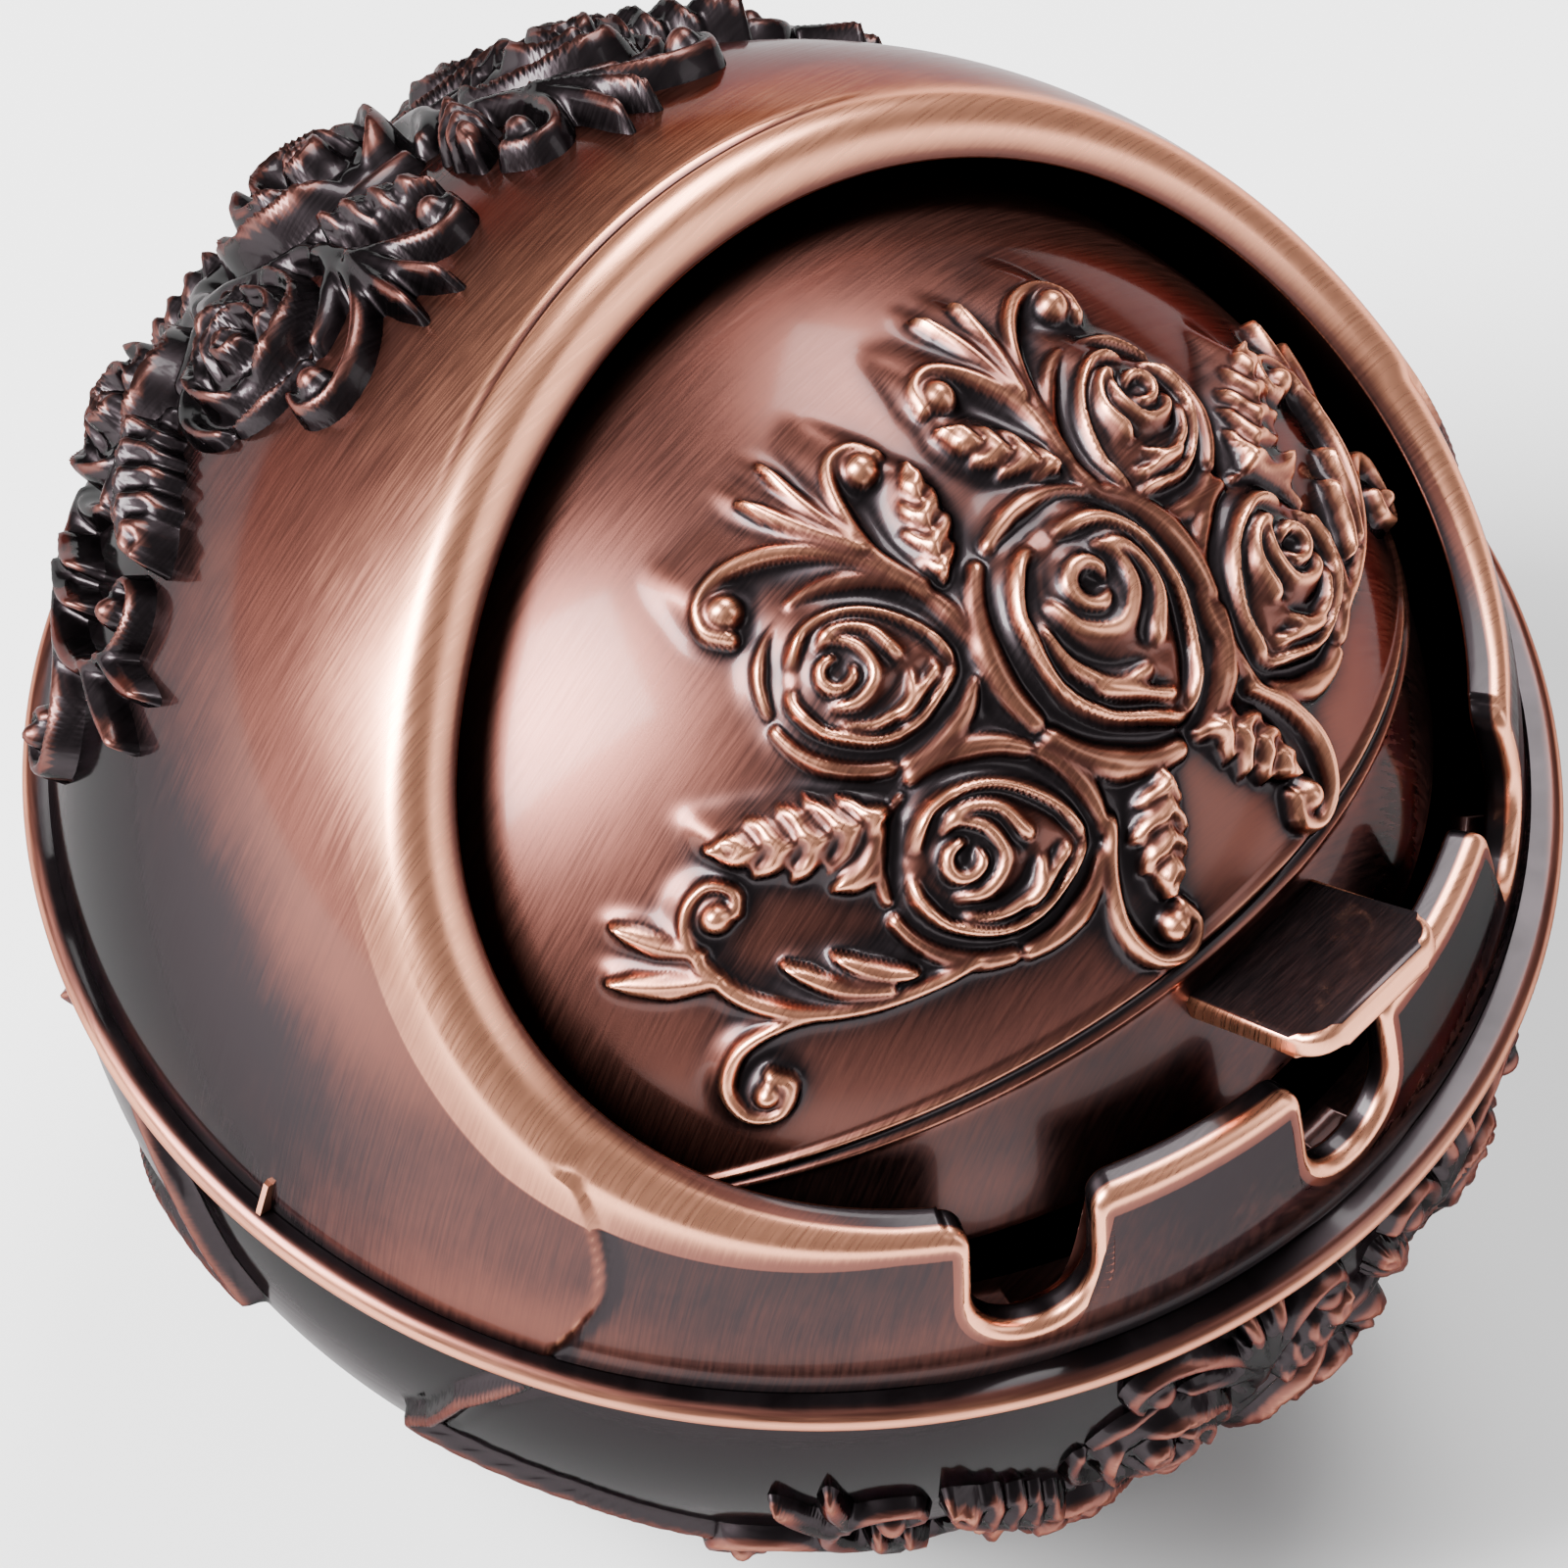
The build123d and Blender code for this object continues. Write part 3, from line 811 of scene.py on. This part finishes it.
def make_tick():
    """Small wedge on the shell's foot that marks where shell and bowl line up."""
    a = math.radians(TICK_AZIMUTH)
    ahead, side = np.array([math.sin(a), -math.cos(a), 0]), np.array([math.cos(a), math.sin(a), 0])
    points = []
    for z, out in ((SEAM_Z + 0.05, BALL_R + 0.9), (SEAM_Z + 2.8, BALL_R + 0.25)):
        for way, half in ((BALL_R - 0.9, 0.45), (out, 0.2)):
            points += [ahead * way + side * half + [0, 0, z], ahead * way - side * half + [0, 0, z]]
    faces = [(0, 1, 3, 2), (4, 6, 7, 5), (0, 4, 5, 1), (2, 3, 7, 6), (0, 2, 6, 4), (1, 5, 7, 3)]
    patina_and_shade = np.full(len(points), -0.4)
    return make_object("tick", points, faces, "shell", patina_and_shade, smooth=False)


# ------------------------------------------------------------
# Bowl
# ------------------------------------------------------------
def make_bowl():
    """Turned bowl with bead; front and back panels are framed and the sides lie a little lower."""
    fine = spaced([(0, 0.75), (62, 0.36), (118, 0.75), (180, 1)])
    azimuth = np.radians(np.concatenate([fine, 360 - fine[::-1][1:-1]]))
    n = len(azimuth)
    rows = []

    def ring(r, z, cav):
        level = np.zeros(n)
        points = np.stack([r * np.sin(azimuth), -r * np.cos(azimuth), level + z], -1)
        rows.append((points, level + cav))

    # top edge and bead
    ring(SOCKET_R, SEAM_Z, 0.6)
    ring(LEDGE_R, SEAM_Z, 0.8)
    for a in np.linspace(90, -75, 15):
        t = math.radians(a)
        ring(BEAD_R + BEAD_T * math.cos(t), BEAD_T * math.sin(t), 0.2 - math.cos(t))
    # outer wall by elevation
    low = math.degrees(math.asin(BASE_Z / BALL_R))
    elevations = np.concatenate([
        np.linspace(-1.9, -8, 16), np.linspace(-8, -30, 42)[1:],
        np.linspace(-30, -52, 38)[1:], np.linspace(-52, low, 10)[1:],
    ])
    az_fold = np.degrees(np.abs((azimuth + math.pi) % (2 * math.pi) - math.pi))
    az_fold = np.minimum(az_fold, 180 - az_fold)
    under_edge = np.interp(az_fold, *zip(*PANEL_FOOT))
    for e in elevations:
        t = math.radians(e)
        # distance into the panel from its side and foot, whichever is nearer
        border = np.interp(-e, *zip(*PANEL_SIDE))
        side_gap = (border - az_fold) * math.pi / 180 * BALL_R * math.cos(t)
        under = (e - under_edge) * math.pi / 180 * BALL_R
        gx = PANEL_CORNER - np.clip(side_gap, -9, PANEL_CORNER)
        gz = PANEL_CORNER - np.clip(under, -9, PANEL_CORNER)
        round_corner = PANEL_CORNER - np.hypot(gx, gz)
        dist = np.where((gx > 0) & (gz > 0), round_corner, np.minimum(side_gap, under))
        panel = 1 / (1 + np.exp(-np.clip(dist / 0.16, -40, 40)))
        ridge = PANEL_RIDGE * np.exp(-np.clip(np.abs(dist - 0.7) / 0.62, 0, 6) ** 3)
        ridge = ridge - 0.25 * bump(dist, 2.0, 0.5)
        radius = BALL_R - PANEL_INSET * (1 - panel) + ridge
        cav = 0.42 - 0.75 * bump(dist, 0.6, 0.4) + 0.5 * bump(dist, -0.5, 0.5) + 0.5 * bump(dist, 1.9, 0.5)
        cav = cav + 0.5 * max(0, 1 - (abs(e) - 1.9) / 1.6)
        ring(radius * math.cos(t), radius * math.sin(t), cav)
    ring(PAD_R, BASE_Z, 0.2)
    ring(PAD_R, BASE_Z + PAD_SUNK, 0.5)
    pad_row = len(rows) - 1
    # inside, from the floor's middle up to the socket
    first_inside = len(rows)
    floor_r = math.sqrt(INNER_R**2 - FLOOR_Z**2)
    ring(floor_r * 0.5, FLOOR_Z, 0.5)
    ring(floor_r, FLOOR_Z, 0.5)
    for t in np.linspace(math.asin(FLOOR_Z / INNER_R), math.asin(SOCKET_Z / INNER_R), 16)[1:]:
        ring(INNER_R * math.cos(t), INNER_R * math.sin(t), 0.5)
    ring(SOCKET_R, SOCKET_Z, 0.5)
    points = np.vstack([r[0] for r in rows])
    patina_and_shade = np.concatenate([r[1] for r in rows])
    faces = grid_faces(first_inside, n, wrap=True)
    faces += grid_faces(len(rows) - first_inside, n, start=first_inside * n, wrap=True)
    last = (len(rows) - 1) * n
    for j in range(n):
        k = (j + 1) % n
        faces.append((last + j, last + k, k, j))
    # close the sunk foot and the floor with fans
    under, over = len(points), len(points) + 1
    points = np.vstack([points, [[0, 0, BASE_Z + PAD_SUNK]], [[0, 0, FLOOR_Z]]])
    patina_and_shade = np.concatenate([patina_and_shade, [0.5, 0.5]])
    for j in range(n):
        k = (j + 1) % n
        faces.append((pad_row * n + j, pad_row * n + k, under))
        faces.append((first_inside * n + k, first_inside * n + j, over))
    return make_object("bowl", points, faces, "bowl", patina_and_shade, ["lower_bowl"])


# ------------------------------------------------------------
# Ornament patches, cast on the shell and the bowl
# ------------------------------------------------------------
PATCH_DEPTH = 1.6


def reach_of(spray, u, keep, band):
    """For each u of a patch, the lowest and highest v that stay between two heights on the ball."""
    v = np.linspace(keep[2], keep[3], 600)
    vv, uu = np.meshgrid(v, u, indexing="ij")
    z = BALL_R * spray.directions((uu + spray.shift) * spray.scale, vv * spray.scale)[..., 2]
    inside_band = (z > band[0]) & (z < band[1])
    return np.array([(v[column].min(), v[column].max()) for column in inside_band.T]).T


def make_patch(name, spray, body, keep, band, relief_shade, step=0.3):
    """The raised spray as a thin closed piece whose base is buried in the wall under it."""
    u = np.arange(keep[0], keep[1], step)
    low, high = reach_of(spray, u, keep, band)
    share = np.linspace(0, 1, int((keep[3] - keep[2]) / step))[:, None]
    vv = low + (high - low) * share
    uu = np.broadcast_to(u, vv.shape)
    d = spray.directions((uu + spray.shift) * spray.scale, vv * spray.scale)
    height = sample(spray.chart, spray.h, uu, vv)
    # the last argument adds painted shade over the whole patch
    patina_and_shade = sample(spray.chart, spray.patina_and_shade, uu, vv) + relief_shade
    height = height * np.clip(np.minimum(high - vv, vv - low) / 1.5, 0, 1) ** 0.5
    sink = 0.14 + 0.8 * np.clip(1 - height / 0.25, 0, 1)
    outer = d * (BALL_R + height - sink)[..., None]
    points, faces = closed_sheet(outer, lambda p: unit(p) * (BALL_R - PATCH_DEPTH), 8)
    patina_and_shade = np.append(patina_and_shade, np.full(len(points) - patina_and_shade.size, HIDDEN_CAVITY))
    return make_object(name, points, faces, body, patina_and_shade)


# ------------------------------------------------------------
# Thumb tab
# ------------------------------------------------------------
def make_tab():
    """A flat tab with rounded edges that stands square to the lid."""
    half_w, corner = TAB_W / 2, TAB_CORNER_R
    loop = []
    for sign, start in ((-1, 180), (1, 270)):
        for a in np.radians(np.linspace(start, start + 90, 9)):
            x = sign * (half_w - corner) + corner * math.cos(a)
            loop.append((x, -TAB_TIP_R + corner + corner * math.sin(a)))
    loop += [(half_w, -TAB_ROOT_R), (-half_w, -TAB_ROOT_R)]
    bm = bmesh.new()
    low = [bm.verts.new((x, y, -TAB_T / 2)) for x, y in loop]
    high = [bm.verts.new((x, y, TAB_T / 2)) for x, y in loop]
    bm.faces.new(low[::-1])
    bm.faces.new(high)
    for k in range(len(loop)):
        m = (k + 1) % len(loop)
        bm.faces.new((low[k], low[m], high[m], high[k]))
    rims = [e for e in bm.edges if abs(e.verts[0].co.z - e.verts[1].co.z) < 1e-6]
    bmesh.ops.bevel(bm, geom=rims, offset=0.6, segments=5, profile=0.5, affect="EDGES")
    bmesh.ops.triangulate(bm, faces=[f for f in bm.faces if len(f.verts) > 4])
    bm.verts.ensure_lookup_table()
    points = np.array([v.co[:] for v in bm.verts])
    faces = [[v.index for v in f.verts] for f in bm.faces]
    bm.free()
    flat = np.abs(np.abs(points[:, 2]) - TAB_T / 2) < 0.02
    patina_and_shade = np.where(flat, 0.75, -0.9)
    t = math.radians(TAB_TURN)
    y, z = points[:, 1].copy(), points[:, 2].copy()
    points[:, 1] = y * math.cos(t) + z * math.sin(t)
    points[:, 2] = -y * math.sin(t) + z * math.cos(t)
    return make_object("tab", points, faces, "lid", patina_and_shade, ["thumb_tab"])


# ------------------------------------------------------------
# Materials
# ------------------------------------------------------------
class Nodes:
    """A small helper that adds nodes and links."""

    def __init__(self, name):
        self.material = bpy.data.materials.new(name)
        self.material.use_nodes = True
        self.tree = self.material.node_tree
        self.tree.nodes.clear()

    def add(self, kind, inputs=None, **settings):
        node = self.tree.nodes.new(kind)
        for key, value in settings.items():
            setattr(node, key, value)
        for key, value in (inputs or {}).items():
            if isinstance(value, bpy.types.NodeSocket):
                self.tree.links.new(value, node.inputs[key])
            else:
                node.inputs[key].default_value = value
        return node

    def maths(self, operation, a, b=0.0, clamp=False):
        return self.add("ShaderNodeMath", {0: a, 1: b}, operation=operation, use_clamp=clamp).outputs[0]

    def maths_vector(self, operation, a, b):
        return self.add("ShaderNodeVectorMath", {0: a, 1: b}, operation=operation).outputs[0]

    def remap(self, value, low, high, to_low=0.0, to_high=1.0):
        inputs = {0: value, 1: low, 2: high, 3: to_low, 4: to_high}
        return self.add("ShaderNodeMapRange", inputs, interpolation_type="SMOOTHSTEP").outputs[0]

    def noise(self, vector, scale, detail, roughness=0.5):
        inputs = {"Vector": vector, "Scale": scale, "Detail": detail, "Roughness": roughness}
        return self.add("ShaderNodeTexNoise", inputs).outputs[0]

    def mix(self, factor, a, b):
        return self.add("ShaderNodeMix", {0: factor, 6: a, 7: b}, data_type="RGBA").outputs[2]

    def surface(self, inputs):
        """Finishes the material with one Principled shader."""
        shader = self.add("ShaderNodeBsdfPrincipled", inputs)
        out = self.add("ShaderNodeOutputMaterial")
        self.tree.links.new(shader.outputs[0], out.inputs[0])
        return self.material


DARK = (0.023, 0.018, 0.020, 1.0)
BROWN = (0.150, 0.056, 0.043, 1.0)
COPPER = (0.87, 0.375, 0.225, 1.0)
GRAZING_TINT = (0.26, 0.22, 0.23, 1.0)
WORN_LEVEL = 0.47


def copper_material(name, around="Y", shade_offset=0.0):
    """Copper plate gone dark in the hollows, rubbed bright on the high places, then lacquered. The same mark
    also carries painted shade and painted highlights.
    """
    m = Nodes(name)
    place = m.add("ShaderNodeTexCoord").outputs["Object"]
    patina_and_shade = m.add("ShaderNodeAttribute", attribute_name="patina_and_shade").outputs["Fac"]
    # brushed streaks that run round one axis of the ball
    parts = m.add("ShaderNodeSeparateXYZ", {0: m.maths_vector("SUBTRACT", place, tuple(CENTRE))}).outputs
    x, y, z = parts[0], parts[1], parts[2]
    turn, along = (m.maths("ARCTAN2", x, z), y) if around == "Y" else (m.maths("ARCTAN2", x, y), z)
    wobble = m.noise(place, 40.0, 2.0)
    across = m.maths("ADD", m.maths("MULTIPLY", along, 5200.0), m.maths("MULTIPLY", wobble, 7.0))
    line = m.add("ShaderNodeCombineXYZ", {0: m.maths("MULTIPLY", turn, 7.0), 1: across, 2: 0.0}).outputs[0]
    streak = m.noise(line, 1.0, 5.0, 0.65)
    cloud = m.noise(place, 42.0, 5.0, 0.6)
    grain = m.noise(place, 1500.0, 3.0, 0.6)
    # how worn each place is, from 0 in the dark hollows and painted shade to 1 on rubbed edges and painted
    # highlights
    wear_and_painted_light = m.maths("MULTIPLY", patina_and_shade, -0.55)
    wear_and_painted_light = m.maths("ADD", wear_and_painted_light, m.remap(cloud, 0.2, 0.8, -0.07, 0.08))
    wear_and_painted_light = m.maths("ADD", wear_and_painted_light, m.remap(streak, 0.28, 0.72, -0.035, 0.035))
    # a shaded copy lowers its whole tone here: painted shade
    wear_and_painted_light = m.maths("ADD", wear_and_painted_light, WORN_LEVEL - shade_offset)
    tone = m.mix(m.remap(wear_and_painted_light, 0.0, 0.36), DARK, BROWN)
    tone = m.mix(m.remap(wear_and_painted_light, 0.34, 0.85), tone, COPPER)
    rough = m.maths("ADD", m.remap(wear_and_painted_light, 0.0, 0.8, 0.38, 0.3), m.remap(streak, 0.3, 0.7, -0.05, 0.06))
    height = m.maths("ADD", m.maths("MULTIPLY", streak, 0.8), m.maths("MULTIPLY", grain, 0.15))
    relief = m.add("ShaderNodeBump", {"Height": height, "Strength": 0.05, "Distance": 0.0001}).outputs[0]
    return m.surface({
        "Base Color": tone, "Metallic": 1.0, "Roughness": rough, "Normal": relief,
        "Specular Tint": GRAZING_TINT, "Coat Weight": 0.16, "Coat Roughness": 0.1, "Coat IOR": 1.5,
    })


def plain_material(name, colour, roughness, metallic=0.0):
    m = Nodes(name)
    place = m.add("ShaderNodeTexCoord").outputs["Object"]
    rough = m.remap(m.noise(place, 700.0, 3.0), 0.2, 0.8, roughness - 0.06, roughness + 0.06)
    return m.surface({"Base Color": (*colour, 1.0), "Metallic": metallic, "Roughness": rough})


def paint(obj, material):
    obj.data.materials.clear()
    obj.data.materials.append(material)


# ------------------------------------------------------------
# Build
# ------------------------------------------------------------
copper = copper_material("antique_copper")
# the bowl's copy is darker all over: painted shade on the lower half of the ball
copper_bowl = copper_material("antique_copper_shaded", around="Z", shade_offset=0.3)

lid_chart = bouquet(2.7)
lid_spray = Spray(lid_chart, turned(59.0, 0.0), (1, 0, 0), 44.2, shift=1.5, draw=turned(14.0, 0.0))
lid = make_lid(lid_spray)
ears = [make_ear(1, "lid_ear_right"), make_ear(-1, "lid_ear_left")]
shell = make_shell()
tick = make_tick()
bowl = make_bowl()
tab = make_tab()

high_chart = bouquet(4.2)
back_spray = Spray(high_chart, turned(148.0, 0.0), (-1, 0, 0), BALL_R + 1.5, scale=1.08)
keep, band = (-42, 42, -23, 25), (1.6, 60)
# the back spray, on the back of the ball, gets strong painted shade
back = make_patch("shell_roses", back_spray, "shell", keep, band, 1.7)
low_chart = bouquet(3.0)
keep, band = (-42, 42, -23, 23), (-60, -2.6)
bowl_roses = []
for name, turn, right_way in (("bowl_roses_front", -29.0, 1), ("bowl_roses_rear", 209.0, -1)):
    spray = Spray(low_chart, turned(turn, 0.0), (right_way, 0, 0), BALL_R + 1.0, scale=1.04)
    # the bowl's sprays get painted shade like the bowl
    bowl_roses.append(make_patch(name, spray, "bowl", keep, band, 0.75))

for piece in [lid, shell, tick, tab, back] + ears:
    paint(piece, copper)
for piece in [bowl] + bowl_roses:
    paint(piece, copper_bowl)

HARDWARE = {
    "pivot_screw": plain_material("screw_steel", (0.5, 0.5, 0.52), 0.3, 1.0),
    "spring_washer": plain_material("spring_steel", (0.35, 0.35, 0.37), 0.25, 1.0),
    "thrust_washer": plain_material("nylon", (0.8, 0.79, 0.74), 0.5),
    "base_pad": plain_material("foam", (0.03, 0.03, 0.032), 0.9),
    "seal_ring": plain_material("silicone", (0.5, 0.5, 0.48), 0.55),
}
for node, obj in frame["nodes"].items():
    for kind, material in HARDWARE.items():
        if node.startswith(kind):
            paint(obj, material)

# ------------------------------------------------------------
# Stage, camera and light
# ------------------------------------------------------------
def make_floor():
    size = 1.6
    mesh = bpy.data.meshes.new("floor")
    corners = [(-size, -size, 0), (size, -size, 0), (size, size, 0), (-size, size, 0)]
    mesh.from_pydata(corners, [], [(0, 1, 2, 3)])
    obj = bpy.data.objects.new("floor", mesh)
    bpy.context.collection.objects.link(obj)
    white = Nodes("floor_white").surface({"Base Color": (0.86, 0.86, 0.86, 1.0), "Roughness": 0.7})
    mesh.materials.append(white)


def camera_axes(azimuth, elevation, roll):
    a, e, r = (math.radians(v) for v in (azimuth, elevation, roll))
    back = np.array([math.sin(a) * math.cos(e), -math.cos(a) * math.cos(e), math.sin(e)])
    right = np.array([math.cos(a), math.sin(a), 0])
    up = np.cross(back, right)
    return math.cos(r) * right + math.sin(r) * up, -math.sin(r) * right + math.cos(r) * up, back


CAMERA = {"azimuth": -53.55, "elevation": 54.7, "roll": 4.55, "distance": 1506.0, "across": -0.66, "up": 0.1}
right, up, back_dir = camera_axes(CAMERA["azimuth"], CAMERA["elevation"], CAMERA["roll"])
data = bpy.data.cameras.new("camera")
data.lens = 516.0
data.sensor_width = 36.0
data.clip_end = 20
camera = bpy.data.objects.new("camera", data)
where = to_world(back_dir * CAMERA["distance"] + right * CAMERA["across"] + up * CAMERA["up"])
rotation = Matrix((right, up, back_dir)).transposed().to_4x4()
camera.matrix_world = Matrix.Translation(Vector(where)) @ rotation
bpy.context.collection.objects.link(camera)
bpy.context.scene.camera = camera


def area_light(name, facing, distance, width, height, power):
    """A light mirrored to the camera by a surface that faces this much right, up and back."""
    n = unit(right * facing[0] + up * facing[1] + back_dir * facing[2])
    d = unit(2 * (n @ back_dir) * n - back_dir)
    lamp = bpy.data.lights.new(name, "AREA")
    lamp.shape = "RECTANGLE"
    lamp.size, lamp.size_y = width, height
    lamp.energy = power
    obj = bpy.data.objects.new(name, lamp)
    obj.location = Vector(CENTRE + d * distance)
    obj.rotation_euler = Vector(-d).to_track_quat("-Z", "Y").to_euler()
    bpy.context.collection.objects.link(obj)


area_light("key", (-0.38, 0.12, 0.9), distance=1.8, width=0.8, height=1.15, power=180.0)
area_light("fill", (0.52, 0.05, 0.82), distance=1.1, width=0.4, height=0.9, power=3.0)
area_light("top", (0.12, 0.6, 0.79), distance=1.5, width=0.7, height=0.7, power=30.0)

world = bpy.data.worlds.new("world")
bpy.context.scene.world = world
world.use_nodes = True
sky = world.node_tree.nodes["Background"].inputs
sky["Color"].default_value = (0.75, 0.74, 0.76, 1)
sky["Strength"].default_value = 0.4
make_floor()
